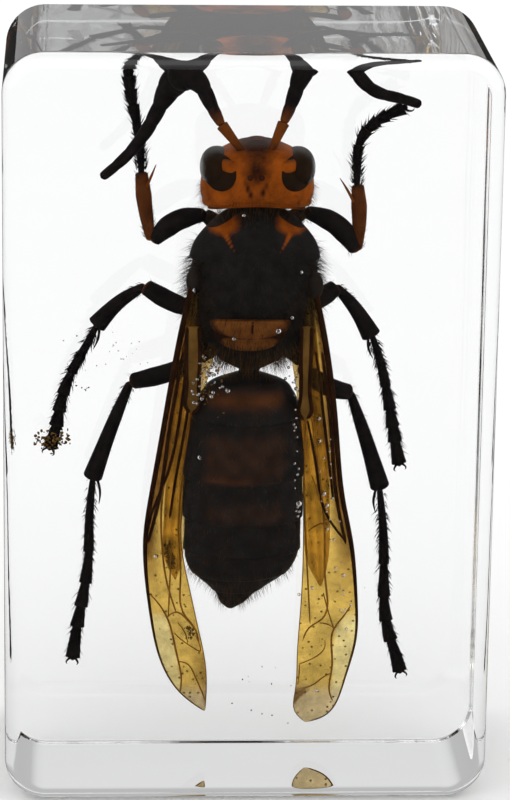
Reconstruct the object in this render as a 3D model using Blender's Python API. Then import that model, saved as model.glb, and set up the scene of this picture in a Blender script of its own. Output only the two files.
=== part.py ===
"""Clear resin casting block that holds one large hornet.

The block stands upright on its short end.  It was poured back side up in an open
mould: the front rim, which was the bottom of the mould, is rounded, the four
upright corners of the outline are rounded all the way through, and the back rim,
where the open face was ground flat, is almost sharp.  The sealed insect is part
of the finish and is not a solid of its own here.

Units are metres, +Z is up, the front face looks along -Y, and the origin is at
the middle of the base.
"""
import math

import bmesh
import bpy
from mathutils import Matrix, Vector

# Driving dimensions
WIDTH = 0.040            # across the front, along X
HEIGHT = 0.063           # upright, along Z
DEPTH = 0.022            # front face to back face, along Y
CORNER_RADIUS = 0.0034   # the four corners of the front outline
FRONT_ROUNDING = 0.0013  # the moulded rim round the front face
BACK_BEVEL = 0.0002      # the rim left by grinding the back face

# How finely the round stretches are divided
CORNER_STEPS = 14
FRONT_STEPS = 10
BACK_STEPS = 1

# Finish
RESIN_COLOUR = (0.965, 0.975, 0.975, 1.0)
RESIN_ROUGHNESS = 0.02
RESIN_IOR = 1.55


def clear_scene():
    """Remove every object that the start-up scene brought."""
    for old in list(bpy.data.objects):
        bpy.data.objects.remove(old, do_unlink=True)


def resin_material():
    """Water-clear polyester casting resin."""
    material = bpy.data.materials.new("clear_resin")
    material.use_nodes = True
    shader = material.node_tree.nodes["Principled BSDF"]
    shader.inputs["Base Color"].default_value = RESIN_COLOUR
    shader.inputs["Roughness"].default_value = RESIN_ROUGHNESS
    shader.inputs["Metallic"].default_value = 0.0
    shader.inputs["IOR"].default_value = RESIN_IOR
    shader.inputs["Transmission Weight"].default_value = 1.0
    return material


def outline_points(y):
    """Corner points of the rounded rectangle in the plane at y, one arc per corner."""
    reach_x = WIDTH / 2 - CORNER_RADIUS
    reach_z = HEIGHT / 2 - CORNER_RADIUS
    middle = Vector((0.0, y, HEIGHT / 2))
    centres = ((reach_x, reach_z), (-reach_x, reach_z), (-reach_x, -reach_z), (reach_x, -reach_z))
    points = []
    for quarter, (centre_x, centre_z) in enumerate(centres):
        for step in range(CORNER_STEPS + 1):
            turn = math.radians(90.0) * (quarter + step / CORNER_STEPS)
            reach = Vector((math.cos(turn), 0.0, math.sin(turn))) * CORNER_RADIUS
            points.append(middle + Vector((centre_x, 0.0, centre_z)) + reach)
    return points


def rim_edges(mesh, y):
    """The edges that lie in the plane at y."""
    close = WIDTH * 1e-4
    return [edge for edge in mesh.edges
            if all(abs(vertex.co.y - y) < close for vertex in edge.verts)]


def make_block():
    """Extrude the outline from front to back, then round the two rims."""
    mesh = bmesh.new()
    front = [mesh.verts.new(point) for point in outline_points(-DEPTH / 2)]
    face = mesh.faces.new(front)
    extruded = bmesh.ops.extrude_face_region(mesh, geom=[face])
    back = [item for item in extruded["geom"] if isinstance(item, bmesh.types.BMVert)]
    bmesh.ops.translate(mesh, verts=back, vec=(0.0, DEPTH, 0.0))
    for y, size, steps in ((-DEPTH / 2, FRONT_ROUNDING, FRONT_STEPS),
                           (DEPTH / 2, BACK_BEVEL, BACK_STEPS)):
        bmesh.ops.bevel(mesh, geom=rim_edges(mesh, y), offset=size, offset_type='OFFSET',
                        segments=steps, profile=0.5, affect='EDGES')
    bmesh.ops.recalc_face_normals(mesh, faces=mesh.faces)
    data = bpy.data.meshes.new("resin_block")
    mesh.to_mesh(data)
    mesh.free()
    data.shade_smooth()
    data.set_sharp_from_angle(angle=math.radians(30.0))
    data.materials.append(resin_material())
    block = bpy.data.objects.new("resin_block", data)
    block.matrix_world = Matrix.Identity(4)
    bpy.context.scene.collection.objects.link(block)
    return block


def main():
    clear_scene()
    make_block()


main()
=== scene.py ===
"""Looks of the clear resin block and the giant hornet sealed in it.

The packed block is loaded as the frame.  Everything else is worked out here: a finely rounded skin for
the block, the hornet piece by piece, its hair, the trapped bubbles and dust, and a plain light stage.

Shapes are surfaces of two parameters, worked out as whole numpy arrays.  A shape is a stack of rings:
rows run along the piece, columns run once round it, and the first and last rings are closed by poles.
Lengths are in millimetres inside this file and become metres when a mesh is made.  +X is to the right,
+Z is up, and -Y comes out of the front face, towards which the hornet turns its back.
"""
import math

import bpy
import numpy as np
from mathutils import Matrix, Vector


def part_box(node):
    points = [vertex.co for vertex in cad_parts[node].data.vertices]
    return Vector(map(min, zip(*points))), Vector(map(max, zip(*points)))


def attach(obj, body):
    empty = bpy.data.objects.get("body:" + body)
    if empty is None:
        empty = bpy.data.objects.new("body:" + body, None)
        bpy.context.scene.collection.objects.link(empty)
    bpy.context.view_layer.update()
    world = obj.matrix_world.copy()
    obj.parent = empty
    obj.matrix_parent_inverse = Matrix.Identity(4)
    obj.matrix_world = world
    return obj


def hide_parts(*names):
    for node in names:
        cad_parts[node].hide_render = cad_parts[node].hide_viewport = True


bl_info = {
    "name": "Hornet in Resin Block",
    "version": (1, 0, 0),
    "blender": (4, 5, 0),
    "location": "3D View > Sidebar > Resin Block",
    "description": "Builds the looks of a clear casting block with a hornet sealed inside",
    "category": "Object",
}

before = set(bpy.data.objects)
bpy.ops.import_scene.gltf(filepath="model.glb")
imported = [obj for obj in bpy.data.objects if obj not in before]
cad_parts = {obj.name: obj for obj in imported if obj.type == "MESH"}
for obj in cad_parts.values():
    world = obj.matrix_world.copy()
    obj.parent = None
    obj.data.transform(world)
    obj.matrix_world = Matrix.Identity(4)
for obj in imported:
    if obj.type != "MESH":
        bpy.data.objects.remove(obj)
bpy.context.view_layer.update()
BLOCK_LOW, BLOCK_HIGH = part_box("resin_block")

MM = 0.001
FRONT = BLOCK_LOW[1] / MM      # the front face's place along Y, in millimetres
BACK = BLOCK_HIGH[1] / MM
TOP = BLOCK_HIGH[2] / MM
FORWARD = (0.0, -1.0, 0.0)     # out of the front face

RESIN_IOR = 1.55
RESIN_DENSITY = 1.5            # of the absorption, per metre
SHELL_IOR = 1.06               # of shell, eyes and hair against the resin round them
SENSOR = 36.0                  # millimetres
FLOOR_SIDE = 12.0              # metres
FLOOR_LEVEL = -0.0001          # a thin air gap under the block, metres
MIRRORED = 0.03                # how much of the floor's light the polished faces mirror to the camera
# The light tent: how high a ray looks, 0 straight down and 1 straight up, and the brightness there.
TENT_STEPS = ((0.0, 0.5), (0.26, 0.52), (0.34, 0.72), (0.44, 0.82), (0.56, 1.5), (0.86, 1.5), (0.97, 0.5))


# ---------------------------------------------------------------- surfaces

def unit(vectors):
    """Each vector divided by its own length."""
    length = np.linalg.norm(vectors, axis=-1, keepdims=True)
    return vectors / np.maximum(length, 1e-12)


def spline(knots, rows):
    """Natural cubic through the knots, read at a number of even lengths or at given places, 0 to 1.

    Between two knots the curve is the cubic whose second slope runs straight from one knot to the
    next and is zero at both ends; the parameter is the summed distance between the knots.
    """
    knots = np.asarray(knots, float)
    steps = np.maximum(np.linalg.norm(np.diff(knots[:, :3], axis=0), axis=1), 1e-9)
    place = np.concatenate(([0.0], np.cumsum(steps)))
    count = len(knots)
    matrix = np.eye(count)
    right = np.zeros_like(knots)
    inner = np.arange(1, count - 1)
    matrix[inner, inner - 1] = steps[:-1]
    matrix[inner, inner] = 2.0 * (steps[:-1] + steps[1:])
    matrix[inner, inner + 1] = steps[1:]
    slopes = np.diff(knots, axis=0) / steps[:, None]
    right[inner] = 6.0 * np.diff(slopes, axis=0)
    second = np.linalg.solve(matrix, right)
    at = np.asarray(rows, float) if np.ndim(rows) else np.linspace(0.0, 1.0, rows)
    at = at * place[-1]
    low = np.clip(np.searchsorted(place, at, side="right") - 1, 0, count - 2)
    width = steps[low][:, None]
    ahead = ((place[low + 1] - at) / steps[low])[:, None]
    behind = 1.0 - ahead
    return (ahead * knots[low] + behind * knots[low + 1]
            + ((ahead ** 3 - ahead) * second[low] + (behind ** 3 - behind) * second[low + 1])
            * width ** 2 / 6.0)


def circle(columns):
    """Evenly spaced angles of one whole turn, without the last, which is the first again."""
    return np.linspace(0.0, 2.0 * np.pi, columns, endpoint=False)


def squared(value, power):
    """A cosine or sine raised to 2/power with its sign kept: above 2 it squares a circle up."""
    return np.sign(value) * np.abs(value) ** (2.0 / power)


def smooth_step(low, high, value):
    """0 below low, 1 above high, and the cubic 3t^2 - 2t^3 between them."""
    t = np.clip((np.asarray(value, float) - low) / (high - low), 0.0, 1.0)
    return t * t * (3.0 - 2.0 * t)


def bump(value, middle, width):
    """A bell of height 1: exp of minus the squared distance over the squared width."""
    return np.exp(-((np.asarray(value, float) - middle) / width) ** 2)


def end_spaced(rows):
    """Places from 0 to 1 that crowd towards both ends: half of 1 minus the cosine of a half turn."""
    return 0.5 - 0.5 * np.cos(np.linspace(0.0, np.pi, rows))


def round_ends(along, start, end):
    """The quarter circles that close a tube: sqrt(1 - (1 - t/start)^2) near 0, and so near 1."""
    near, far = (np.sqrt(np.maximum(1.0 - (1.0 - np.clip(part, 0.0, 1.0)) ** 2, 1e-4))
                 for part in (along / start, (1.0 - along) / end))
    return near * far


def frames(path):
    """Directions along, across and above a path: across is the tangent crossed with the way forward."""
    tangent = unit(np.gradient(path, axis=0))
    across = unit(np.cross(tangent, FORWARD))
    above = np.cross(across, tangent)
    return tangent, across, above


def sweep(path, half_width, half_height, columns):
    """An ellipse carried along a path.

    Ring point = centre + half_width cos(a) across + half_height sin(a) above, a once round.
    """
    _, across, above = frames(path)
    turn = circle(columns)
    wide = np.broadcast_to(half_width, len(path))[:, None, None]
    high = np.broadcast_to(half_height, len(path))[:, None, None]
    return (path[:, None, :] + wide * np.cos(turn)[None, :, None] * across[:, None, :]
            + high * np.sin(turn)[None, :, None] * above[:, None, :])


def limb(knots, widths, rows, columns, flat=1.0, ends=(0.06, 0.06)):
    """A tapering round limb: a splined path, half-widths evenly spaced on it, and rounded ends."""
    along = end_spaced(rows)
    path = spline(knots, along)
    places = np.linspace(0.0, 1.0, len(widths))
    width = np.interp(along, places, widths) * round_ends(along, *ends)
    return sweep(path, width, width * flat, columns)


def ball(centre, radii, rows, columns, power=2.0, axis=2):
    """A superellipsoid: each direction's parts raised to 2/power, times the three radii.

    The poles lie on the chosen axis.
    """
    polar = np.linspace(0.02, np.pi - 0.02, rows)[:, None]
    turn = circle(columns)[None, :]
    ring = squared(np.sin(polar), power)
    parts = [ring * squared(np.cos(turn), power), ring * squared(np.sin(turn), power),
             squared(np.cos(polar), power) * np.ones_like(turn)]
    parts = [parts[(k - axis - 1) % 3] for k in range(3)]
    return np.asarray(centre) + np.stack(parts, axis=-1) * np.asarray(radii)


# ---------------------------------------------------------------- meshes

def closed_skin(rings, inward=False):
    """The skin of stacked rings, as points, quads and triangles.

    rings has the shape (copies, rows, columns, 3).  Quads join each ring to the next and a fan of
    triangles closes each end on the ring's middle.  A copy whose signed volume, the sum of
    a . (b x c) / 6 over its triangles, is negative is turned the other way round, and a hollow in a
    solid, which faces inwards, is turned round where the sum is positive.
    """
    rings = np.asarray(rings, float)
    if rings.ndim == 3:
        rings = rings[None]
    copies, rows, columns, _ = rings.shape
    body = rings.reshape(copies, rows * columns, 3)
    points = np.concatenate((body, rings[:, :1].mean(axis=2), rings[:, -1:].mean(axis=2)), axis=1)
    row, column = np.meshgrid(np.arange(rows - 1), np.arange(columns), indexing="ij")
    after = (column + 1) % columns
    quads = np.stack((row * columns + column, row * columns + after,
                      (row + 1) * columns + after, (row + 1) * columns + column), axis=-1).reshape(-1, 4)
    first = np.arange(columns)
    second = (first + 1) % columns
    last = (rows - 1) * columns
    low_pole, high_pole = rows * columns, rows * columns + 1
    fans = np.concatenate((np.stack((np.full(columns, low_pole), second, first), axis=-1),
                           np.stack((np.full(columns, high_pole), last + first, last + second), axis=-1)))
    corners = np.concatenate((quads[:, [0, 1, 2]], quads[:, [0, 2, 3]], fans))
    a, b, c = (points[:, corners[:, k]] for k in range(3))
    volume = (a * np.cross(b, c)).sum(axis=(1, 2))
    offset = (np.arange(copies) * points.shape[1])[:, None, None]
    flip = ((volume < 0.0) != inward)[:, None, None]
    quads = np.where(flip, quads[None, :, ::-1], quads[None]) + offset
    fans = np.where(flip, fans[None, :, ::-1], fans[None]) + offset
    along = np.broadcast_to(np.linspace(0.0, 1.0, rows)[:, None], (rows, columns)).ravel()
    around = np.broadcast_to(np.arange(columns) / columns, (rows, columns)).ravel()
    along = np.tile(np.concatenate((along, (0.0, 1.0))), copies)
    around = np.tile(np.concatenate((around, (0.0, 0.0))), copies)
    return points.reshape(-1, 3), quads.reshape(-1, 4), fans.reshape(-1, 3), along, around


def point_values(rings, tone):
    """A ring stack's mask with its two poles: one value, values from first row to last, or a grid."""
    rows, columns = rings.shape[:2]
    tone = np.asarray(tone, float)
    if tone.ndim == 1:
        tone = np.interp(np.linspace(0.0, 1.0, rows), np.linspace(0.0, 1.0, len(tone)), tone)[:, None]
    grid = np.broadcast_to(tone, (rows, columns))
    return np.concatenate((grid.ravel(), (grid[0].mean(), grid[-1].mean())))


def make_piece(name, shapes, material, slot, hollows=(), **masks):
    """One mesh object from any number of ring stacks, in its place, riding on the block.

    Every point keeps two numbers: along, 0 to 1 over the rows, and around, 0 to 1 over the columns.
    masks adds more, each with one tone for each shape.  hollows are ring stacks that are holes inside
    the solid.
    """
    skins = [closed_skin(shape) for shape in shapes] + [closed_skin(hole, True) for hole in hollows]
    starts = np.cumsum([0] + [len(skin[0]) for skin in skins])
    points = np.concatenate([skin[0] for skin in skins]) * MM
    quads = np.concatenate([skin[1] + start for skin, start in zip(skins, starts)])
    fans = np.concatenate([skin[2] + start for skin, start in zip(skins, starts)])
    corners = np.concatenate((quads.ravel(), fans.ravel())).astype(np.int32)
    begins = np.concatenate((np.arange(len(quads)) * 4, len(quads) * 4 + np.arange(len(fans)) * 3))
    mesh = bpy.data.meshes.new(name)
    mesh.vertices.add(len(points))
    mesh.vertices.foreach_set("co", points.astype(np.float32).ravel())
    mesh.loops.add(len(corners))
    mesh.loops.foreach_set("vertex_index", corners)
    mesh.polygons.add(len(begins))
    mesh.polygons.foreach_set("loop_start", begins.astype(np.int32))
    mesh.update(calc_edges=True)
    values = {"along": np.concatenate([skin[3] for skin in skins]),
              "around": np.concatenate([skin[4] for skin in skins])}
    for label, tones in masks.items():
        values[label] = np.concatenate([point_values(*pair) for pair in zip(shapes, tones)])
    for label, numbers in values.items():
        mesh.attributes.new(label, "FLOAT", "POINT").data.foreach_set(
            "value", np.asarray(numbers, np.float32))
    mesh.shade_smooth()
    mesh.materials.append(material)
    piece = bpy.data.objects.new(name, mesh)
    bpy.context.scene.collection.objects.link(piece)
    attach(piece, "root")
    return piece


# ---------------------------------------------------------------- materials

def feed(tree, node, links):
    """Gives each named input of a node a value, or links another node's output to it."""
    for label, value in links.items():
        socket = node.inputs[label]
        if isinstance(value, bpy.types.NodeSocket):
            tree.links.new(value, socket)
        else:
            socket.default_value = value


def add(tree, kind, links=None, **settings):
    """A new node: settings are its own options, and links is what its inputs get."""
    made = tree.nodes.new(kind)
    for label, value in settings.items():
        setattr(made, label, value)
    feed(tree, made, links or {})
    return made


def point_value(tree, label):
    """The piece's own attribute with this name."""
    return add(tree, "ShaderNodeAttribute", attribute_name=label).outputs["Fac"]


def noise(tree, place, scale, detail=2.0, roughness=0.5):
    """Clouds of noise, 0 to 1."""
    return add(tree, "ShaderNodeTexNoise", {"Vector": place, "Scale": scale, "Detail": detail,
                                            "Roughness": roughness}).outputs["Fac"]


def cells(tree, place, scale):
    """Distance to the nearest of the scattered points of a Voronoi pattern."""
    return add(tree, "ShaderNodeTexVoronoi", {"Vector": place, "Scale": scale}).outputs["Distance"]


def ranged(tree, value, low=0.0, high=1.0, to_low=0.0, to_high=1.0):
    """The value moved from the range low to high into the range to_low to to_high, and held there."""
    return add(tree, "ShaderNodeMapRange", {"Value": value, "From Min": low, "From Max": high,
                                            "To Min": to_low, "To Max": to_high}).outputs["Result"]


def reckon(tree, operation, *values):
    """The named operation on two or three numbers."""
    return add(tree, "ShaderNodeMath", dict(enumerate(values)), operation=operation).outputs[0]


def mixed(tree, factor, first, second):
    """The first colour where the factor is 0 and the second where it is 1."""
    return add(tree, "ShaderNodeMix", {"Factor": factor, 6: first, 7: second},
               data_type="RGBA").outputs[2]


def shaded(tree, tint, shade):
    """A colour made darker or brighter by a number."""
    return add(tree, "ShaderNodeVectorMath", {0: tint, 1: shade}, operation="MULTIPLY").outputs[0]


def relief(tree, height, strength, distance, **settings):
    """The normal of a surface that a height pattern dents."""
    return add(tree, "ShaderNodeBump", {"Height": height, "Strength": strength, "Distance": distance},
               **settings).outputs["Normal"]


def new_group(name, inputs, outputs):
    """An empty shader group with its sockets and its two end nodes.

    inputs gives each input's name and default, which is None for a place; all outputs are numbers.
    """
    group = bpy.data.node_groups.new(name, "ShaderNodeTree")
    for label, value in inputs.items():
        kind = "NodeSocketVector" if value is None else "NodeSocketFloat"
        socket = group.interface.new_socket(name=label, in_out="INPUT", socket_type=kind)
        if value is not None:
            socket.default_value = value
    for label in outputs:
        group.interface.new_socket(name=label, in_out="OUTPUT", socket_type="NodeSocketFloat")
    return group, group.nodes.new("NodeGroupInput").outputs, group.nodes.new("NodeGroupOutput")


def shell_grain_group(name):
    """Insect shell close up: slow mottling, fine pits, and fine noise.

    Mottle is noise at a tenth of Scale; Height is the distance to the nearest Voronoi cell point,
    clipped to round pits, plus a little noise.
    """
    group, given, out = new_group(name, {"Vector": None, "Scale": 9000.0}, ("Mottle", "Height"))
    slow = noise(group, given["Vector"], reckon(group, "MULTIPLY", given["Scale"], 0.1), 4.0, 0.6)
    pits = ranged(group, cells(group, given["Vector"], given["Scale"]), 0.1, 0.45)
    fine = noise(group, given["Vector"], given["Scale"], 3.0)
    feed(group, out, {"Mottle": slow, "Height": reckon(group, "MULTIPLY_ADD", fine, 0.35, pits)})
    return group


def ragged_mask_group(name):
    """A mask from a point attribute with a ragged edge: attribute plus noise, then a soft threshold."""
    group, given, out = new_group(name, {"Mask": 0.0, "Vector": None, "Scale": 1800.0, "Ragged": 0.35,
                                         "Soft": 0.25}, ("Mask",))
    clouds = noise(group, given["Vector"], given["Scale"], 5.0, 0.65)
    centred = reckon(group, "SUBTRACT", clouds, 0.5)
    moved = reckon(group, "MULTIPLY_ADD", centred, given["Ragged"], given["Mask"])
    low = reckon(group, "SUBTRACT", 0.5, given["Soft"])
    high = reckon(group, "ADD", 0.5, given["Soft"])
    feed(group, out, {"Mask": ranged(group, moved, low, high)})
    return group


GROUPS = {"Shell Grain": shell_grain_group, "Ragged Mask": ragged_mask_group}


def shared(tree, label, links):
    """A node of the shader group with this name, which is built the first time it is asked for."""
    group = bpy.data.node_groups.get(label) or GROUPS[label](label)
    return add(tree, "ShaderNodeGroup", links, node_tree=group).outputs


def new_material(name):
    """A new material, its tree, its Principled shader and its Object coordinates."""
    material = bpy.data.materials.new(name)
    material.use_nodes = True
    tree = material.node_tree
    place = add(tree, "ShaderNodeTexCoord").outputs["Object"]
    return material, tree, tree.nodes["Principled BSDF"], place


def colour(setting):
    """A colour setting as the four numbers that a colour socket takes."""
    return (*setting[:3], 1.0)


def shell_material(name, light, dark, *, grain=9000.0, pits=0.25, roughness=0.42, ragged=0.35, soft=0.25):
    """Insect shell: two colours parted by the piece's dark attribute, with pits and mottling."""
    material, tree, shader, place = new_material(name)
    mask = shared(tree, "Ragged Mask", {"Mask": point_value(tree, "dark"), "Vector": place,
                                        "Ragged": ragged, "Soft": soft})["Mask"]
    detail = shared(tree, "Shell Grain", {"Vector": place, "Scale": grain})
    worn = ranged(tree, detail["Mottle"], 0.3, 0.7, 0.62, 1.25)
    feed(tree, shader, {
        "Base Color": shaded(tree, mixed(tree, mask, colour(light), colour(dark)), worn),
        "Roughness": ranged(tree, detail["Mottle"], to_low=roughness - 0.1, to_high=roughness + 0.12),
        "Normal": relief(tree, detail["Height"], pits, 0.00004),
        "IOR": SHELL_IOR})
    return material


def resin_material(colours):
    """Clear casting resin: plain transmission, one IOR, a trace of absorption, faint polish marks."""
    material, tree, shader, place = new_material("cast_resin")
    feed(tree, shader, {"Base Color": colour(colours.resin), "Roughness": 0.0, "IOR": RESIN_IOR,
                        "Transmission Weight": 1.0,
                        "Normal": relief(tree, noise(tree, place, 90.0, 1.0), 0.02, 0.001)})
    depth = add(tree, "ShaderNodeVolumeAbsorption", {"Color": colour(colours.resin_depth),
                                                     "Density": RESIN_DENSITY})
    feed(tree, tree.nodes["Material Output"], {"Volume": depth.outputs["Volume"]})
    return material


def eye_material(colours):
    """Compound eye: fine rounded cells, dark gold, with a painted sheen: light grey mixed into the colour
    where a point attribute marks the outer rim.
    """
    material, tree, shader, place = new_material("compound_eye")
    clouds = noise(tree, place, 900.0, 3.0)
    dull = mixed(tree, clouds, colour(colours.eye), colour(colours.eye_light))
    # Painted sheen: the rim's mask, broken up by clouds, mixes light grey into the eye's colour in place of
    # a reflection.
    rim_painted_sheen = reckon(tree, "MULTIPLY", point_value(tree, "silver"), clouds)
    feed(tree, shader, {
        "Base Color": mixed(tree, rim_painted_sheen, dull, colour(colours.eye_silver)),
        "Normal": relief(tree, cells(tree, place, 14000.0), 0.3, 0.00003, invert=True),
        "Roughness": 0.25, "IOR": SHELL_IOR})
    return material


def film_material(colours):
    """Wing film: amber light passes straight through, brown along the folds and painted shade, with
    pin-prick dots.

    The piece's dark, grey and pale attributes shift the amber towards dark brown, grey and straw.
    """
    material, tree, shader, place = new_material("wing_film")
    dark = shared(tree, "Ragged Mask", {"Mask": point_value(tree, "dark"), "Vector": place,
                                        "Scale": 700.0, "Ragged": 0.5, "Soft": 0.55})["Mask"]
    pale = mixed(tree, point_value(tree, "pale"), colour(colours.film), colour(colours.film_pale))
    grey = mixed(tree, point_value(tree, "grey"), pale, colour(colours.film_grey))
    brown = mixed(tree, dark, grey, colour(colours.film_dark))
    dots = ranged(tree, cells(tree, place, 1500.0), 0.14, 0.2, 0.25, 1.0)
    cloudy = ranged(tree, noise(tree, place, 420.0, 5.0, 0.6), 0.3, 0.7, 0.58, 1.2)
    feed(tree, shader, {"Base Color": shaded(tree, brown, reckon(tree, "MULTIPLY", dots, cloudy)),
                        "Transmission Weight": 0.9, "IOR": 1.02, "Roughness": 0.12,
                        "Specular IOR Level": 0.1})
    return material


def hair_material(name, root, tip):
    """Hair: one colour at the root and one at the tip by the along attribute, mottled from hair to hair."""
    material, tree, shader, place = new_material(name)
    both = mixed(tree, point_value(tree, "along"), colour(root), colour(tip))
    shade = ranged(tree, noise(tree, place, 900.0), 0.3, 0.7, 0.6, 1.4)
    feed(tree, shader, {"Base Color": shaded(tree, both, shade), "Roughness": 0.55, "IOR": SHELL_IOR})
    return material


# The shell and hair finishes: colour settings, then how they differ from the shell's usual look.
SHELLS = {
    "orange": ("orange", "orange_dark", {"grain": 7000.0, "pits": 0.3, "ragged": 0.45}),
    "orange_black": ("orange", "black", {"ragged": 0.5, "roughness": 0.5}),
    "rust": ("rust", "orange_dark", {"ragged": 0.5, "grain": 8000.0}),
    "black": ("black_light", "black", {"roughness": 0.5, "pits": 0.4}),
    "gaster": ("rust_dim", "black", {"ragged": 0.8, "soft": 0.5, "roughness": 0.4}),
    "limb": ("limb_light", "limb_dark", {"ragged": 0.4, "roughness": 0.45}),
    "ocellus": ("ocellus", "ocellus", {"pits": 0.0, "roughness": 0.25}),
    "vein": ("vein_light", "vein", {"pits": 0.1, "roughness": 0.5}),
    "lobe": ("lobe", "vein", {"grain": 5000.0, "ragged": 0.5}),
    "dust": ("dust", "limb_dark", {"roughness": 0.6}),
}
HAIRS = {"dark_hair": ("black_light", "hair_tip"), "gold_hair": ("limb_dark", "hair_gold"),
         "spine": ("limb_dark", "limb_dark")}
OTHERS = {"cast_resin": resin_material, "compound_eye": eye_material, "wing_film": film_material}


def finish(label, colours):
    """The named material, made the first time it is asked for."""
    made = bpy.data.materials.get(label)
    if made:
        return made
    if label in SHELLS:
        light, dark, look = SHELLS[label]
        return shell_material(label, getattr(colours, light), getattr(colours, dark), **look)
    if label in HAIRS:
        root, tip = HAIRS[label]
        return hair_material(label, getattr(colours, root), getattr(colours, tip))
    return OTHERS[label](colours)


# ---------------------------------------------------------------- block

HOLD_WIDTH = 0.02              # millimetres from a rim to the row of faces that keeps its shading crisp


def block_rings(sizes):
    """The block's skin: a rounded rectangle drawn in or let out as it goes from front to back.

    At inset e the outline is the rectangle of half-sides W/2 - e and H/2 - e whose corners have the
    radius R - e.  From the front face backwards, e falls from r to 0 as r (1 - sin t) while the depth
    grows as r (1 - cos t); at the back rim a small bevel draws it in again.  Each rim and each end of
    a corner has a narrow row of faces beside it, which keeps the flat faces flat in their shading.
    """
    r, bevel, radius = sizes.front_rounding / MM, sizes.back_bevel / MM, sizes.corner_radius / MM
    turn = np.linspace(0.0, np.pi / 2.0, 25)
    hold = HOLD_WIDTH
    insets = np.concatenate(([r + hold], r * (1.0 - np.sin(turn)), [0.0, 0.0, 0.0, bevel, bevel + hold]))
    depths = np.concatenate(([FRONT], FRONT + r * (1.0 - np.cos(turn)),
                             [FRONT + r + hold, BACK - bevel - hold, BACK - bevel, BACK, BACK]))
    half_x, half_z = BLOCK_HIGH[0] / MM, TOP / 2.0
    quarter = np.linspace(0.0, np.pi / 2.0, 24)
    signs = ((1.0, 1.0), (-1.0, 1.0), (-1.0, -1.0), (1.0, -1.0))
    rings = []
    for inset, depth in zip(insets, depths):
        corner = max(radius - inset, 0.01)
        parts = []
        for number, (sign_x, sign_z) in enumerate(signs):
            angle = quarter + number * np.pi / 2.0
            x = sign_x * (half_x - inset - corner) + corner * np.cos(angle)
            z = sign_z * (half_z - inset - corner) + corner * np.sin(angle)
            ahead = np.array((-np.sin(angle[0]), np.cos(angle[0]))) * hold
            after = np.array((-np.sin(angle[-1]), np.cos(angle[-1]))) * hold
            x = np.concatenate(([x[0] - ahead[0]], x, [x[-1] + after[0]]))
            z = np.concatenate(([z[0] - ahead[1]], z, [z[-1] + after[1]]))
            parts.append(np.stack((x, np.full_like(x, depth), z + TOP / 2.0), axis=-1))
        rings.append(np.concatenate(parts))
    return np.array(rings)


def bubble_shapes(places):
    """Round hollows: a ball for each place and radius of the list."""
    return [ball((x, y, z), (r, r, r), rows=14, columns=18) for x, y, z, r in places]


# ---------------------------------------------------------------- the hornet's body

# The middle line of the body: height, then place to the right, then place in depth.
BODY_LINE = np.array((
    (14.0, -1.1, 3.0), (16.0, -0.6, 2.7), (18.4, -0.33, 2.3), (26.0, -0.2, 1.5), (35.0, 0.12, 0.5),
    (42.7, 0.42, 0.0), (52.0, 0.6, -0.1), (57.0, 0.65, -0.1)))

HEAD_MIDDLE = 0.6              # how far right of the block's middle the head's own middle is

# Each trunk part: height, half-width, reach to the back (towards the front face), reach to the belly.
HEAD = np.array((
    (48.7, 0.6, 0.6, 0.6), (48.8, 2.6, 2.0, 2.4), (49.2, 4.0, 3.2, 3.9), (50.0, 4.5, 4.0, 4.7),
    (51.3, 4.6, 4.35, 5.0), (52.6, 4.35, 4.3, 5.1), (53.5, 3.6, 3.85, 5.0), (54.1, 2.5, 3.1, 4.3),
    (54.5, 1.4, 1.9, 3.1), (54.7, 0.4, 0.5, 0.8)))
THORAX = np.array((
    (35.2, 0.5, 0.5, 0.5), (35.7, 1.5, 1.5, 1.8), (36.7, 2.9, 2.8, 3.4), (38.0, 4.1, 4.1, 4.7),
    (40.0, 4.95, 4.9, 5.2), (42.6, 5.25, 5.3, 5.3), (45.0, 5.0, 5.0, 4.9), (47.0, 4.35, 4.1, 4.3),
    (48.4, 3.1, 2.9, 3.1), (49.4, 1.5, 1.5, 1.7)))
GASTER = np.array((
    (14.2, 0.25, 0.25, 0.25), (14.6, 0.9, 0.7, 0.7), (15.3, 1.5, 1.2, 1.2), (16.1, 2.3, 1.9, 1.9),
    (17.1, 3.7, 2.95, 3.0), (18.5, 4.65, 3.7, 3.8), (21.0, 4.9, 4.1, 4.3), (23.7, 5.05, 4.3, 4.5),
    (27.2, 5.0, 4.45, 4.5), (29.7, 4.8, 4.3, 4.3), (31.8, 4.4, 3.95, 4.0), (33.4, 3.85, 3.35, 3.6),
    (34.4, 2.9, 2.5, 2.8), (35.0, 1.2, 1.2, 1.4)))
PLATE_ROOT = 0.5               # how deep a shield reaches below the skin that it lies on
TRUNK_POWER = 2.2              # how square a trunk part's cross-section is, 2 being an ellipse
# Where one ring of the gaster slides under the one before it, as heights, from the waist to the tip.
RING_EDGES = (35.0, 31.0, 25.8, 22.2, 19.3, 17.2, 15.8, 14.2)


def through(places, values, at):
    """Cubic Hermite curve through the values, whose slopes at the knots are central differences."""
    places, values, at = (np.asarray(item, float) for item in (places, values, at))
    slopes = np.gradient(values, places)
    low = np.clip(np.searchsorted(places, at, side="right") - 1, 0, len(places) - 2)
    gap = places[low + 1] - places[low]
    t = np.clip((at - places[low]) / gap, 0.0, 1.0)
    return (values[low] * (2 * t ** 3 - 3 * t ** 2 + 1) + slopes[low] * gap * (t ** 3 - 2 * t ** 2 + t)
            + values[low + 1] * (3 * t ** 2 - 2 * t ** 3) + slopes[low + 1] * gap * (t ** 3 - t ** 2))


def in_body(side, dorsal, height):
    """From body places, to the right, towards the back and up, to places in the block."""
    side, dorsal, height = np.broadcast_arrays(*(np.asarray(v, float) for v in (side, dorsal, height)))
    x = side + through(BODY_LINE[:, 0], BODY_LINE[:, 1], height)
    y = through(BODY_LINE[:, 0], BODY_LINE[:, 2], height) - dorsal
    return np.stack((x, y, height), axis=-1)


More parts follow.
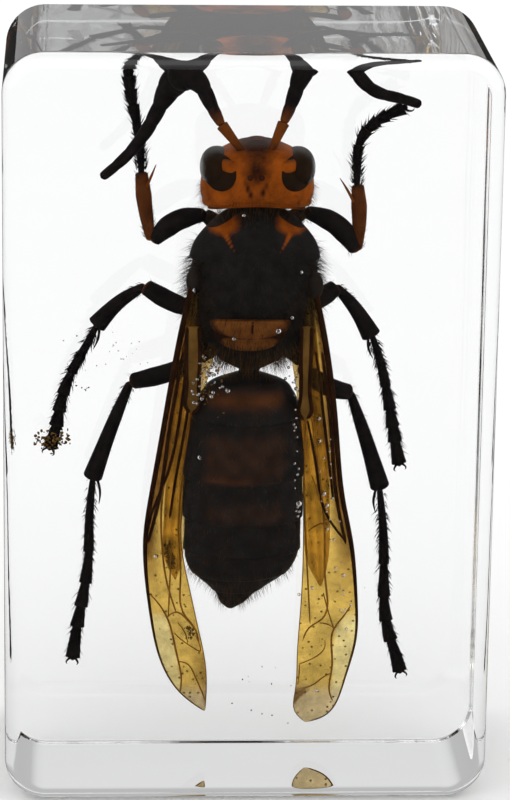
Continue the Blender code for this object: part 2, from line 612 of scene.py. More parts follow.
def trunk_point(stations, height, turn, power, swell=1.0):
    """A point of a trunk part's skin.

    side = w |cos t|^(2/p), dorsal = r |sin t|^(2/p), each with the sign of its cosine or sine; w and r
    are read from the stations at the height, and r is the back's or the belly's reach by that sign.
    """
    height, turn = np.broadcast_arrays(np.asarray(height, float), np.asarray(turn, float))
    width, back, belly = (through(stations[:, 0], stations[:, k], height) * swell for k in (1, 2, 3))
    sine = np.sin(turn)
    return (width * squared(np.cos(turn), power), np.where(sine > 0.0, back, belly) * squared(sine, power),
            height)


def trunk(stations, low, high, rows, columns, power=TRUNK_POWER, swell=1.0):
    """Rings of a trunk part between two heights."""
    height = low + (high - low) * end_spaced(rows)[:, None]
    return trunk_point(stations, height, circle(columns)[None, :], power, swell)


def back_reach(stations, side, height):
    """How far towards the back a trunk part's skin is at a side place and height."""
    width = through(stations[:, 0], stations[:, 1], height)
    back = through(stations[:, 0], stations[:, 2], height)
    inside = np.clip(1.0 - np.abs(side / width) ** TRUNK_POWER, 0.0, 1.0)
    return back * inside ** (1.0 / TRUNK_POWER)


def plate(stations, centre, half_side, up, down, thick, rows, columns, power):
    """A shield that lies on a trunk part's back.

    The outline round the centre is a superellipse that reaches up and down by different lengths.  Over
    it the skin is lifted by thick (1 - q^4)^(1/2), q being 0 in the middle and 1 at the rim; the under
    side runs back to the middle below the skin.
    """
    out = np.sin(np.linspace(0.02, np.pi / 2.0, rows))
    reach = np.concatenate((out, out[::-1]))[:, None]
    top = np.concatenate((np.ones(rows), np.zeros(rows)))[:, None]
    turn = circle(columns)[None, :]
    sine = np.sin(turn)
    side = centre[0] + reach * half_side * squared(np.cos(turn), power)
    height = centre[1] + reach * np.where(sine > 0, up, down) * squared(sine, power)
    dome = np.sqrt(np.maximum(1.0 - reach ** 4, 0.0))
    dorsal = back_reach(stations, side, height) + np.where(top > 0, thick * dome, -PLATE_ROOT * dome)
    return side, dorsal, height


def body_piece(name, places, material, slot, dark):
    """A piece from one body-place grid, with its dark mask."""
    return make_piece(name, [in_body(*places)], material, slot, dark=[dark])


def make_head(look):
    """Head capsule with its dark marks, clypeus, three ocelli, and the jaws and eyes of both sides.

    The capsule's marks are dark bells: a patch between the eyes, the crown, a V above the nape, the
    middle, the nape, the temples and the brow.  A shallow groove runs down its middle.
    """
    side, dorsal, height = trunk(HEAD, HEAD[0, 0], HEAD[-1, 0], 100, 128, 2.35)
    rear = smooth_step(50.3, 48.9, height)
    height = height + rear * 0.6 * np.clip(1.0 - (side / 4.2) ** 2, 0.0, 1.0)
    dorsal = dorsal + 0.14 * bump(side, -0.2, 1.3) * bump(height, 52.3, 1.3) * (dorsal > 0)
    dorsal = dorsal - 0.16 * bump(side, -0.2, 0.14) * bump(height, 50.8, 1.1) * (dorsal > 0)
    patch = bump(side, -0.2, 1.35) * bump(height, 52.6, 1.15) * 0.75
    crown = bump(side, -0.1, 2.0) * smooth_step(52.9, 54.0, height) * 0.45
    vee = bump(np.abs(side + 0.2), 0.25 + 0.42 * (height - 50.2), 0.16) * bump(height, 51.0, 0.75) * 0.6
    middle = bump(side, -0.2, 2.2) * bump(height, 50.4, 1.0) * 0.3
    nape = smooth_step(49.8, 49.1, height) * 0.55
    temple = smooth_step(3.9, 4.6, np.abs(side)) * 0.25
    brow = smooth_step(53.8, 54.5, height) * 0.35
    body_piece("head_capsule", (side, dorsal, height), look("orange"), "orange_shell",
               np.clip(patch + crown + vee + middle + nape + temple + brow, 0.0, 1.0))

    clypeus = ball((HEAD_MIDDLE, 1.1, 53.55), (1.45, 3.3, 1.2), 40, 56, 2.2)
    make_piece("clypeus", [clypeus], look("orange"), "orange_shell",
               dark=[smooth_step(53.7, 54.7, clypeus[..., 2]) * 0.4 + 0.3])
    ocelli = [ball((x, y, z), (0.26, 0.24, 0.26), 16, 20)
              for x, y, z in ((0.34, -4.42, 52.9), (-0.1, -4.5, 52.15), (0.82, -4.5, 52.15))]
    make_piece("ocelli", ocelli, look("ocellus"), "eye_lens")
    for label, sign in (("left", -1.0), ("right", 1.0)):
        make_jaw_and_eye(label, sign, look)


def make_jaw_and_eye(label, sign, look):
    """One side's jaw, its compound eye and the orange tongue of the head that cuts into the eye.

    The eye is a tall ball in the head's side with a low shield over it on the back.
    """
    knots = [(sign * side + HEAD_MIDDLE, depth, height) for side, depth, height
             in ((2.3, 4.2, 50.9), (2.1, 5.0, 51.9), (1.3, 5.6, 52.6), (0.35, 5.8, 52.6))]
    jaw = limb(knots, (0.75, 0.8, 0.55, 0.25), 26, 18, 0.75)
    make_piece(f"mandible_{label}", [jaw], look("orange"), "orange_shell", dark=[(0.3, 1.0)])

    globe = ball((sign * 3.3 + HEAD_MIDDLE, -0.2, 52.45), (1.4, 3.7, 1.65), 48, 64, 2.15, axis=1)
    shield = in_body(*plate(HEAD, (sign * 3.15, 52.35), 1.35, 1.52, 1.5, 0.3, 22, 60, 2.1))
    # Painted sheen on the eye's outer rim, standing in for the gleam of the air film between eye and resin.
    silver = [smooth_step(4.35, 4.62, np.abs(skin[..., 0] - HEAD_MIDDLE))
              * smooth_step(51.2, 53.0, skin[..., 2]) for skin in (globe, shield)]
    make_piece(f"compound_eye_{label}", [globe, shield], look("compound_eye"), "eye_lens", silver=silver)

    tongue = plate(HEAD, (sign * 2.1, 53.0), 1.55, 0.45, 0.6, 0.46, 18, 48, 2.1)
    sunk = 0.6 * smooth_step(2.5, 1.3, np.abs(tongue[0]))
    tongue = in_body(tongue[0], tongue[1] - sunk, tongue[2] + 0.12 * (np.abs(tongue[0]) - 2.1))
    make_piece(f"eye_tongue_{label}", [tongue], look("orange"), "orange_shell",
               dark=[0.25 + 0.3 * smooth_step(53.1, 53.6, tongue[..., 2])])


def make_thorax(look):
    """Side walls, collar, back shield, wing-root caps, scutellum, metanotum and propodeum."""
    core = trunk(THORAX, THORAX[0, 0], THORAX[-1, 0], 80, 96)
    body_piece("thorax_wall", core, look("black"), "black_shell", 0.5)

    side, dorsal, height = trunk(THORAX, 45.4, 49.2, 52, 112, swell=1.09)
    height = height - 0.4 * smooth_step(0.0, 4.5, np.abs(side))
    rust = bump(np.abs(side - 0.05), 3.0, 1.3) * bump(height, 48.2, 0.85) * (dorsal > 0) * 1.5
    vee = bump(np.abs(side - 0.05), 1.5 + 0.6 * (height - 45.4), 0.16) * smooth_step(45.4, 46.8, height)
    body_piece("pronotum_collar", (side, dorsal, height), look("orange_black"), "orange_shell",
               np.clip(1.0 - rust - 0.8 * vee * (dorsal > 0), 0.0, 1.0))

    shield = plate(THORAX, (0.0, 43.6), 4.35, 3.5, 3.2, 0.4, 28, 96, 2.0)
    furrow = bump(np.abs(shield[0]), 1.6, 0.1) + bump(shield[0], 0.0, 0.09)
    depth = shield[1] - 0.08 * furrow * (shield[1] > 3.0)
    body_piece("mesonotum_shield", (shield[0], depth, shield[2]), look("black"), "black_shell", 1.0)

    cap = plate(THORAX, (-0.25, 40.1), 3.3, 0.34, 1.5, 0.52, 26, 80, 2.3)
    seam = bump(cap[0], -0.1, 0.08) * 0.95
    rim = smooth_step(0.72, 1.0, np.hypot((cap[0] + 0.25) / 3.3, (cap[2] - 40.1) / 1.6)) * 0.6
    dip = 0.12 * bump(cap[0], -0.1, 0.1) * (cap[1] > 3.0)
    body_piece("scutellum", (cap[0], cap[1] - dip, cap[2]), look("rust"), "orange_shell",
               np.clip(0.08 + seam + rim, 0.0, 1.0))

    strip = plate(THORAX, (-0.25, 39.4), 2.95, 0.2, 1.95, 0.3, 22, 72, 2.2)
    ends = smooth_step(1.7, 2.7, np.abs(strip[0] + 0.25)) * 0.7
    top = smooth_step(38.5, 38.9, strip[2]) * 0.6
    body_piece("metanotum", strip, look("rust"), "orange_shell", np.clip(0.12 + ends + top, 0.0, 1.0))

    slope = trunk(THORAX, 35.2, 38.3, 40, 72, 2.1, 1.03)
    body_piece("propodeum", slope, look("black"), "black_shell", 0.6)
    for label, sign, height in (("left", -1.0, 43.3), ("right", 1.0, 42.9)):
        tegula = ball((sign * 4.85 + 0.42, -2.9, height), (0.75, 0.7, 1.15), 22, 28)
        make_piece(f"tegula_{label}", [tegula], look("black"), "black_shell", dark=[0.3])


def make_gaster(look):
    """The waist and the seven rings of the gaster, each tucked under the one before it."""
    waist = limb(((0.35, 0.3, 36.2), (0.15, 0.5, 35.3), (0.1, 0.6, 34.3)), (1.1, 0.8, 1.1), 24, 30)
    make_piece("waist", [waist], look("black"), "black_shell", dark=[0.5])
    for number, (high, low) in enumerate(zip(RING_EDGES[:-1], RING_EDGES[1:]), start=1):
        start = high if number == 1 else high + 0.5
        fall = np.linspace(0.0, 1.0, 34)[:, None]
        height = start + (low - start) * fall
        side, dorsal, height = trunk_point(GASTER, height, circle(96)[None, :], 2.15)
        flare = 0.975 + 0.03 * smooth_step(0.0, 0.9, fall) - 0.045 * smooth_step(0.94, 1.0, fall)
        dip = -0.25 * fall * bump(side, 0.0, 3.2)
        body_piece(f"gaster_ring_{number}", (side * flare, dorsal * flare, height + dip),
                   look("gaster"), "black_shell", ring_marks(number, side, height))


def ring_marks(number, side, height):
    """Where a gaster ring is black: 1, less a rust band that crosses the back at the ring's own height."""
    inner = smooth_step(3.9, 2.6, np.abs(side))      # 1 on the back, 0 towards the sides
    if number == 1:
        return 1.0 - 0.9 * bump(height, 33.2, 0.65) * smooth_step(3.6, 2.6, np.abs(side + 0.3))
    if number == 2:
        broad = 0.26 * smooth_step(30.8, 29.4, height) * smooth_step(25.6, 27.0, height)
        low = 0.42 * bump(height, 26.3, 0.3) * smooth_step(1.6, -1.0, side)
        return 1.0 - np.clip(broad + low, 0.0, 1.0) * inner
    if number == 3:
        return 1.0 - 0.2 * bump(height, 23.3, 0.9) * inner
    return np.ones_like(side)


# ---------------------------------------------------------------- legs and antennae

# Knots of each leg from the hip outwards.  Femur, tibia and tarsus each start where the one before ends.
LEGS = {
    "fore_left": {
        "coxa": ((-1.5, 3.0, 46.1), (-2.7, 3.2, 47.3), (-3.6, 2.9, 48.0)),
        "femur": ((-3.4, 2.9, 48.0), (-5.8, 2.8, 47.5), (-7.9, 2.8, 45.7)),
        "tibia": ((-8.0, 2.8, 45.8), (-8.5, 2.8, 48.8), (-8.8, 2.8, 51.6)),
        "tarsus": (
            (-8.8, 2.8, 51.3), (-8.85, 3.0, 53.0), (-9.1, 3.2, 55.2), (-9.6, 3.3, 57.6), (-9.85, 3.3, 59.4),
            (-10.1, 3.3, 61.1)),
        "spur": ((-8.4, 2.4, 50.3), (-8.0, 2.2, 51.3), (-7.6, 2.2, 52.3)),
    },
    "fore_right": {
        "coxa": ((2.3, 3.0, 46.3), (3.7, 3.2, 47.7), (4.7, 2.9, 48.3)),
        "femur": ((4.5, 2.9, 48.3), (7.2, 2.8, 47.2), (9.0, 2.8, 44.9)),
        "tibia": ((9.0, 2.8, 45.0), (9.1, 2.8, 47.7), (8.9, 2.8, 50.6)),
        "tarsus": (
            (8.85, 2.8, 50.3), (8.85, 3.0, 52.2), (9.0, 3.2, 53.9), (9.6, 3.3, 55.0), (10.6, 3.3, 55.9),
            (12.6, 3.3, 56.9)),
        "spur": ((8.6, 2.4, 49.1), (8.1, 2.2, 50.1), (7.4, 2.2, 51.2)),
    },
    "mid_left": {
        "coxa": ((-1.9, 3.8, 41.0), (-3.3, 3.9, 40.5), (-4.3, 3.5, 39.8)),
        "femur": ((-4.1, 3.4, 39.7), (-6.6, 3.5, 40.7), (-8.5, 3.9, 41.8)),
        "tibia": ((-8.4, 3.9, 41.8), (-10.6, 5.0, 40.2), (-12.5, 5.5, 38.1)),
        "tarsus": (
            (-12.4, 5.5, 38.2), (-13.5, 6.1, 35.9), (-14.6, 6.6, 33.7), (-15.4, 6.8, 31.2),
            (-15.8, 7.0, 29.1), (-16.3, 7.2, 27.3)),
        "spur": ((-12.2, 5.2, 38.1), (-12.3, 5.0, 37.1), (-12.7, 5.0, 36.2)),
    },
    "mid_right": {
        "coxa": ((2.5, 3.8, 41.4), (3.9, 3.9, 40.8), (5.0, 3.5, 40.3)),
        "femur": ((4.7, 3.4, 40.1), (6.3, 3.5, 41.0), (7.4, 3.9, 41.8)),
        "tibia": ((7.3, 3.9, 41.8), (9.1, 5.0, 39.6), (10.5, 5.5, 37.2)),
        "tarsus": (
            (10.5, 5.5, 37.3), (11.2, 6.1, 35.2), (11.7, 6.6, 33.2), (12.2, 6.8, 30.7), (12.7, 7.0, 27.9),
            (13.1, 7.2, 25.9)),
        "spur": ((10.2, 5.2, 37.3), (10.2, 5.0, 36.3), (10.6, 5.0, 35.4)),
    },
    "hind_left": {
        "coxa": ((-1.3, 3.2, 37.7), (-2.7, 3.7, 36.7), (-4.0, 3.6, 35.6)),
        "femur": ((-3.8, 3.5, 35.5), (-6.7, 3.9, 34.3), (-9.6, 5.0, 33.4)),
        "tibia": ((-9.6, 5.0, 33.4), (-11.3, 6.1, 28.9), (-12.8, 7.2, 24.5)),
        "tarsus": (
            (-12.7, 7.2, 24.6), (-13.0, 8.1, 20.7), (-13.1, 8.6, 16.9), (-13.6, 8.9, 13.4),
            (-14.1, 9.0, 10.6), (-14.4, 9.1, 8.2)),
        "spur": ((-12.4, 6.9, 24.7), (-12.1, 6.9, 23.5), (-12.2, 7.1, 22.3)),
    },
    "hind_right": {
        "coxa": ((2.1, 3.2, 37.5), (3.5, 3.7, 36.5), (4.7, 3.6, 35.3)),
        "femur": ((4.4, 3.5, 35.1), (6.8, 3.9, 33.2), (8.8, 5.0, 32.5)),
        "tibia": ((8.7, 5.0, 32.6), (10.2, 6.1, 28.2), (11.6, 7.2, 23.6)),
        "tarsus": (
            (11.5, 7.2, 23.7), (12.0, 8.1, 18.8), (12.2, 8.6, 13.3), (12.7, 8.9, 10.2), (13.2, 9.0, 8.7),
            (13.7, 9.1, 6.9)),
        "spur": ((11.2, 6.9, 23.7), (11.0, 6.9, 22.6), (11.2, 7.1, 21.5)),
    },
}
# Where the five tarsus joints start and end, as parts of the tarsus.
TARSUS_JOINTS = (0.0, 0.4, 0.57, 0.7, 0.81, 1.0)
# Half-widths along each part, thick fore legs first.
FORE_WIDTHS = {"femur": (0.5, 0.86, 0.9, 0.55), "tibia": (0.36, 0.56, 0.66, 0.5), "tarsus": 0.45}
OTHER_WIDTHS = {"femur": (0.5, 0.8, 0.82, 0.66), "tibia": (0.34, 0.54, 0.66, 0.84), "tarsus": 0.47}

ANTENNAE = {
    "left": {
        "scape": ((-0.7, -2.3, 54.0), (-1.6, -2.7, 55.2), (-2.45, -2.8, 56.3)),
        "swell": 1.3,
        "flagellum": (
            (-2.4, -2.8, 56.2), (-3.5, -2.3, 58.3), (-4.2, -1.9, 59.5), (-5.2, -1.0, 60.0),
            (-6.1, 0.1, 59.5), (-6.9, 0.8, 58.2), (-8.05, 1.6, 55.8), (-9.1, 1.9, 54.1), (-10.5, 2.2, 52.5),
            (-12.1, 2.4, 51.1)),
    },
    "right": {
        "scape": ((1.6, -2.3, 54.0), (2.1, -2.7, 55.3), (2.6, -2.8, 56.5)),
        "swell": 1.0,
        "flagellum": (
            (2.55, -2.8, 56.4), (3.4, -2.2, 58.6), (4.0, -1.8, 60.2), (4.9, -1.2, 61.3), (6.4, -0.2, 61.7),
            (7.9, 0.7, 60.9), (8.9, 1.1, 59.6), (10.35, 1.6, 58.4), (12.1, 1.9, 57.9), (13.95, 2.1, 57.3)),
    },
}
FLAGELLUM_JOINTS = 11
# Places along the flagellum and its half-widths there.
FLAGELLUM_WIDTHS = ((0.0, 0.32), (0.06, 0.46), (0.18, 0.62), (0.3, 0.92), (0.45, 0.85), (0.55, 0.6),
                    (0.75, 0.5), (1.0, 0.36))


def tarsus_joints(knots, half_width):
    """Five little bells along the tarsus, each a piece of one spline and widest near its far end."""
    shapes = []
    for start, end in zip(TARSUS_JOINTS[:-1], TARSUS_JOINTS[1:]):
        along = start + (end - start + 0.02) * end_spaced(14)
        path = spline(knots, np.clip(along, 0.0, 1.0))
        even = np.linspace(0.0, 1.0, 14)
        bell = np.interp(even, (0.0, 0.8, 1.0), (0.48, 1.0, 1.05))
        width = half_width * (0.95 + 0.5 * start) * bell * round_ends(even, 0.12, 0.08)
        shapes.append(sweep(path, width, width * 0.8, 12))
    return shapes


def claw_shapes(knots):
    """Two hooks and the pad between them at the tarsus's end."""
    path = spline(knots, np.array((0.97, 1.0)))
    ahead = unit(path[1] - path[0])
    across = unit(np.cross(ahead, FORWARD))
    tip = path[1]
    shapes = [ball(tip + ahead * 0.1, (0.22, 0.2, 0.22), 10, 12)]
    for sign in (-1.0, 1.0):
        hook = [tip + ahead * out + across * sign * side + (0.0, deep, 0.0) for out, side, deep
                in ((-0.05, 0.0, 0.0), (0.28, 0.38, 0.05), (0.62, 0.5, 0.25), (0.78, 0.38, 0.42))]
        shapes.append(limb(hook, (0.12, 0.1, 0.07, 0.02), 16, 8))
    return shapes


def make_leg(name, leg, look, rng):
    """One leg: coxa with trochanter, femur, tibia with its spur, tarsus with claws, and its spines."""
    fore = name.startswith("fore")
    widths = FORE_WIDTHS if fore else OTHER_WIDTHS
    coxa = limb(leg["coxa"], (0.95, 1.0, 0.7, 0.55), 22, 22)
    make_piece(f"{name}_coxa", [coxa], look("black"), "black_shell", dark=[0.5])
    femur = limb(leg["femur"], widths["femur"], 40, 24, 0.9, (0.08, 0.06))
    make_piece(f"{name}_femur", [femur], look("limb"), "black_shell", dark=[(1.0, 1.0, 1.0, 0.9, 0.45)])
    tibia = limb(leg["tibia"], widths["tibia"], 44, 24, 0.9, (0.05, 0.035))
    spur = limb(leg["spur"], (0.12, 0.11, 0.03), 16, 8)
    tones = [(0.35, 0.4, 0.5, 0.5, 0.5, 0.8), 0.3] if fore else [(0.6, 0.95, 1.0, 1.0, 0.85), 0.9]
    make_piece(f"{name}_tibia", [tibia, spur], look("limb"), "orange_shell" if fore else "black_shell",
               dark=tones)
    joints = tarsus_joints(leg["tarsus"], widths["tarsus"])
    claws = claw_shapes(leg["tarsus"])
    make_piece(f"{name}_tarsus", joints + claws, look("limb"), "black_shell",
               dark=[(0.9, 1.0, 0.7)] * len(joints) + [0.8] * len(claws))
    spines = [limb_hairs(leg["tarsus"], widths["tarsus"], 260, (0.4, 0.95), 0.7, rng, 0.05),
              limb_hairs(leg["tibia"], widths["tibia"][2] * 0.85, 200, (0.25, 0.55), 0.9, rng, 0.025),
              limb_hairs(leg["femur"], widths["femur"][2] * 0.9, 120, (0.25, 0.55), 1.1, rng, 0.015)]
    make_piece(f"{name}_spines", spines, look("spine"), "body_hair")


def make_antenna(label, antenna, look):
    """Scape and pedicel in one piece, and the many-jointed flagellum."""
    scape = limb(antenna["scape"], (0.3, 0.34, 0.42, 0.5), 30, 20, 1.0, (0.08, 0.04))
    socket = ball(antenna["scape"][0], (0.42, 0.42, 0.35), 14, 18)
    make_piece(f"antenna_{label}_scape", [scape, socket], look("limb"), "orange_shell",
               dark=[(0.9, 0.5, 0.35, 0.35, 0.55), 0.9])
    along = np.linspace(0.0, 1.0, 150)
    path = spline(antenna["flagellum"], along)
    thick = np.interp(along, *zip(*FLAGELLUM_WIDTHS))
    thick = thick * (1.0 + (antenna["swell"] - 1.0) * bump(along, 0.36, 0.12))
    beat = np.abs(np.sin(np.pi * FLAGELLUM_JOINTS * along)) ** 0.3
    width = 1.06 * thick * (0.84 + 0.16 * beat) * round_ends(along, 0.012, 0.02)
    rings = sweep(path, width, width, 22)
    make_piece(f"antenna_{label}_flagellum", [rings], look("limb"), "black_shell",
               dark=[(0.45, 0.85, *[1.0] * 7)])


# ---------------------------------------------------------------- hair

DOWN, UP = (0.0, 0.0, -1.0), (0.0, 0.0, 1.0)
ALL_ROUND = (0.0, 2.0 * math.pi)
BACK_ONLY = (0.2, math.pi - 0.2)
# Each piece of hair: its finish, then its patches.  A patch is a trunk part, number of hairs, heights,
# turns, lengths, half-width, droop, and how much the droop leans the hairs.
BODY_HAIR = {
    "thorax_hair": ("dark_hair", ((THORAX, 4600, (37.0, 46.3), ALL_ROUND, (0.7, 1.6), 0.02, DOWN, 0.35),)),
    "waist_hair": ("gold_hair", ((THORAX, 1500, (36.0, 38.4), ALL_ROUND, (0.8, 1.6), 0.016, DOWN, 0.5),)),
    "neck_hair": ("gold_hair", ((THORAX, 600, (47.6, 49.0), ALL_ROUND, (0.4, 0.9), 0.012, UP, 0.5),
                                (HEAD, 800, (49.1, 51.2), ALL_ROUND, (0.3, 0.8), 0.013, DOWN, 0.4),
                                (HEAD, 300, (51.0, 54.2), BACK_ONLY, (0.15, 0.35), 0.01, DOWN, 0.2))),
    "gaster_hair": ("gold_hair", ((GASTER, 1500, (18.0, 34.0), ALL_ROUND, (0.2, 0.45), 0.012, DOWN, 1.3),
                                  (GASTER, 700, (14.5, 18.0), ALL_ROUND, (0.4, 1.0), 0.016, DOWN, 0.8))),
}


def hair_rings(roots, ahead, lengths, width, droop, rng):
    """Thin three-sided cones: root + length (t ahead + t^2 bend / 2), whose width falls as 1.02 - t.

    The bend is the droop with a little random lean for each hair.
    """
    t = np.array((0.0, 0.4, 0.75, 1.0))[None, :, None]
    bend = droop + rng.normal(0.0, 0.18, roots.shape)
    centre = roots[:, None] + lengths[:, None, None] * (t * ahead[:, None] + t ** 2 * bend[:, None] * 0.5)
    across = unit(np.cross(ahead, rng.normal(size=ahead.shape)))
    above = np.cross(across, ahead)
    turn = circle(3)[None, None, :, None]
    size = width * (1.02 - t)[..., None]
    return (centre[:, :, None] + size * np.cos(turn) * across[:, None, None]
            + size * np.sin(turn) * above[:, None, None])


def limb_hairs(knots, half_width, count, lengths, spread, rng, width):
    """Spines round a limb: each leans from the limb's skin towards its far end."""
    path = spline(knots, np.sort(rng.uniform(0.03, 0.99, count)))
    tangent, across, above = frames(path)
    turn = rng.uniform(0.0, 2.0 * np.pi, count)[:, None]
    out = np.cos(turn) * across + np.sin(turn) * above
    roots = path + out * half_width * 0.8
    ahead = unit(tangent + spread * out + rng.normal(0.0, 0.12, out.shape))
    return hair_rings(roots, ahead, rng.uniform(*lengths, count), width, -0.2 * out, rng)


def trunk_hairs(stations, count, heights, turns, lengths, width, droop, lean, rng):
    """Hairs on a trunk part: even random heights and turns, standing along the skin's normal.

    The normal is the cross product of small steps round and up the skin.
    """
    height = rng.uniform(*heights, count)
    turn = rng.uniform(*turns, count)
    step = 1e-3
    here, around, upward = (in_body(*trunk_point(stations, height + up, turn + on, TRUNK_POWER))
                            for up, on in ((0.0, 0.0), (0.0, step), (step, 0.0)))
    around, upward = around - here, upward - here
    normal = unit(np.cross(upward, around))
    middle = in_body(np.zeros(count), np.zeros(count), height)
    normal *= np.sign((normal * (here - middle)).sum(axis=1, keepdims=True))
    ahead = unit(normal + np.array(droop) * lean + rng.normal(0.0, 0.28, normal.shape))
    return hair_rings(here - normal * 0.05, ahead, rng.uniform(*lengths, count), width,
                      np.array(droop) * 0.6, rng)


def make_body_hair(look, rng):
    """The hair of the thorax, waist, neck, head and gaster, patch by patch."""
    for name, (label, patches) in BODY_HAIR.items():
        make_piece(name, [trunk_hairs(*patch, rng) for patch in patches], look(label), "body_hair")


# ---------------------------------------------------------------- wings

# Depth of the folded wings by height: they slope from the back at the root to the belly side at the tip.
WING_DEPTH = np.array((
    (0.0, 10.0), (2.2, 9.5), (8.0, 7.7), (13.9, 5.2), (21.8, 2.8), (28.2, 0.6), (39.0, -2.8), (44.0, -3.5)))
# Outlines as places to the right and heights, from the root to the tip, outer edge then inner edge.
FORE_WINGS = {
    "left": {
        "outer": (
            (-4.7, 43.2), (-5.8, 37.4), (-6.9, 30.2), (-7.9, 23.6), (-8.3, 19.9), (-8.2, 16.5),
            (-7.7, 12.2), (-6.9, 8.3), (-5.0, 4.8), (-3.1, 3.2)),
        "inner": (
            (-4.1, 43.2), (-4.2, 37.4), (-4.4, 32.9), (-4.9, 28.4), (-5.2, 23.6), (-5.3, 19.9),
            (-4.5, 15.1), (-3.7, 11.2), (-3.0, 7.2), (-3.0, 3.3)),
    },
    "right": {
        "outer": (
            (5.3, 43.0), (6.4, 37.4), (7.4, 30.2), (8.2, 23.6), (9.0, 19.7), (9.6, 14.5), (9.7, 10.2),
            (8.9, 6.2), (7.3, 2.7), (5.8, 2.1)),
        "inner": (
            (4.6, 43.0), (4.3, 37.4), (4.3, 32.8), (4.7, 28.3), (4.9, 23.6), (5.0, 19.9), (4.9, 12.1),
            (4.8, 8.5), (4.7, 5.0), (4.7, 3.2), (5.6, 2.1)),
    },
}
HIND_WINGS = {
    "left": {
        "outer": ((-4.9, 40.6), (-5.8, 35.1), (-6.5, 28.2), (-6.8, 21.1), (-6.5, 17.5), (-5.8, 16.1)),
        "inner": (
            (-3.9, 40.6), (-2.8, 37.6), (-3.2, 35.1), (-4.5, 28.2), (-5.0, 21.1), (-5.2, 17.8),
            (-5.7, 16.0)),
    },
    "right": {
        "outer": ((5.3, 40.6), (6.0, 35.1), (6.8, 28.2), (7.2, 21.1), (7.1, 17.4), (6.7, 15.5)),
        "inner": (
            (4.3, 40.6), (3.5, 37.6), (3.8, 35.1), (4.5, 28.2), (5.0, 21.1), (5.3, 18.0), (6.5, 15.4)),
    },
}
LOBES = {
    "left": {
        "outer": ((-5.1, 39.6), (-5.1, 36.1), (-5.1, 33.4), (-5.0, 32.2), (-4.7, 31.9)),
        "inner": ((-4.1, 39.6), (-4.0, 36.1), (-4.0, 33.4), (-4.1, 32.2), (-4.6, 31.8)),
    },
    "right": {
        "outer": ((5.1, 39.6), (5.1, 36.1), (5.2, 32.9), (5.2, 31.7), (4.9, 31.3)),
        "inner": ((4.3, 39.6), (4.3, 36.1), (4.3, 32.9), (4.3, 31.7), (4.7, 31.2)),
    },
}
# Veins of the fore wings: half-width in the middle, then places.
FORE_VEINS = {
    "left": (
        (0.08, ((-4.7, 31.1), (-5.3, 25.5), (-5.5, 19.9), (-5.3, 16.5), (-4.9, 12.7), (-4.2, 11.7),
            (-3.6, 9.7))),
        (0.09, ((-6.2, 28.4), (-7.0, 22.7), (-6.9, 19.5), (-6.5, 16.1), (-5.6, 12.9))),
        (0.07, ((-6.1, 19.5), (-6.2, 16.1), (-6.3, 12.5))),
        (0.085, ((-7.9, 14.8), (-7.4, 14.2), (-6.3, 12.2), (-5.8, 10.2), (-5.4, 8.2), (-5.1, 6.3),
            (-5.2, 5.0))),
        (0.07, ((-6.4, 12.5), (-5.6, 13.0), (-4.9, 12.5), (-3.9, 11.1))),
        (0.055, ((-5.5, 12.0), (-4.8, 10.8), (-4.6, 9.9))),
        (0.055, ((-5.8, 11.0), (-5.3, 10.4), (-4.2, 9.5), (-3.6, 9.1), (-4.0, 10.8))),
        (0.07, ((-5.4, 8.1), (-4.7, 7.9), (-4.0, 6.8), (-3.4, 5.3), (-3.0, 4.2))),
        (0.17, ((-5.3, 37.4), (-6.4, 30.2), (-7.2, 23.6), (-8.1, 19.5))),
        (0.13, ((-5.0, 37.4), (-5.7, 30.2), (-6.7, 25.5), (-7.8, 22.3), (-8.2, 19.9))),
        (0.13, ((-4.6, 38.3), (-4.9, 32.0), (-5.7, 26.5), (-6.3, 21.8)))),
    "right": (
        (0.08, ((4.9, 31.1), (4.9, 25.5), (5.2, 19.9), (5.6, 14.2), (5.8, 11.7))),
        (0.09, ((5.3, 31.6), (6.2, 25.5), (6.8, 19.9), (7.0, 15.7), (6.7, 12.2), (5.8, 11.5), (5.2, 10.0))),
        (0.06, ((6.8, 14.9), (7.3, 13.0), (7.8, 11.4))),
        (0.085, ((9.2, 13.6), (8.5, 12.4), (7.8, 11.2), (7.7, 9.4), (7.8, 7.4), (7.7, 4.9), (8.0, 4.1))),
        (0.06, ((6.6, 11.9), (7.2, 11.8), (7.8, 11.4))),
        (0.06, ((7.8, 6.9), (7.1, 6.5), (6.3, 5.8), (5.4, 5.4))),
        (0.055, ((5.0, 7.8), (6.2, 8.4), (7.1, 9.4), (7.1, 10.2))),
        (0.05, ((5.0, 7.8), (5.0, 6.7), (4.9, 5.7))),
        (0.17, ((6.0, 37.4), (7.0, 30.2), (7.7, 23.6), (8.6, 19.4))),
        (0.12, ((5.0, 31.1), (5.9, 26.5), (6.9, 22.2), (8.6, 19.7))),
        (0.07, ((5.4, 20.7), (6.2, 21.3), (7.2, 21.5))),
        (0.13, ((5.5, 37.4), (6.5, 30.2), (7.4, 23.6))),
        (0.07, ((5.5, 26.0), (6.3, 23.6), (6.8, 21.7)))),
}
FILM_HALF = 0.02          # half the thickness of the wing film, millimetres
PLEAT = 0.09              # height of the fore wing's pleats, millimetres


def wing_depth(height, across, pleat):
    """Place in depth: the sloping fold, pleats and a slight hollow.

    The pleats are a sine of four waves across that fades to the tip.
    """
    slope = through(WING_DEPTH[:, 0], WING_DEPTH[:, 1], height)
    fade = smooth_step(12.0, 24.0, height)
    return slope + pleat * fade * np.sin(across * 8.0 * np.pi) + 0.25 * (across - 0.5) ** 2


def flat_spline(knots, rows):
    """A spline through places to the right and heights, all at depth 0."""
    return spline([(x, 0.0, z) for x, z in knots], rows)


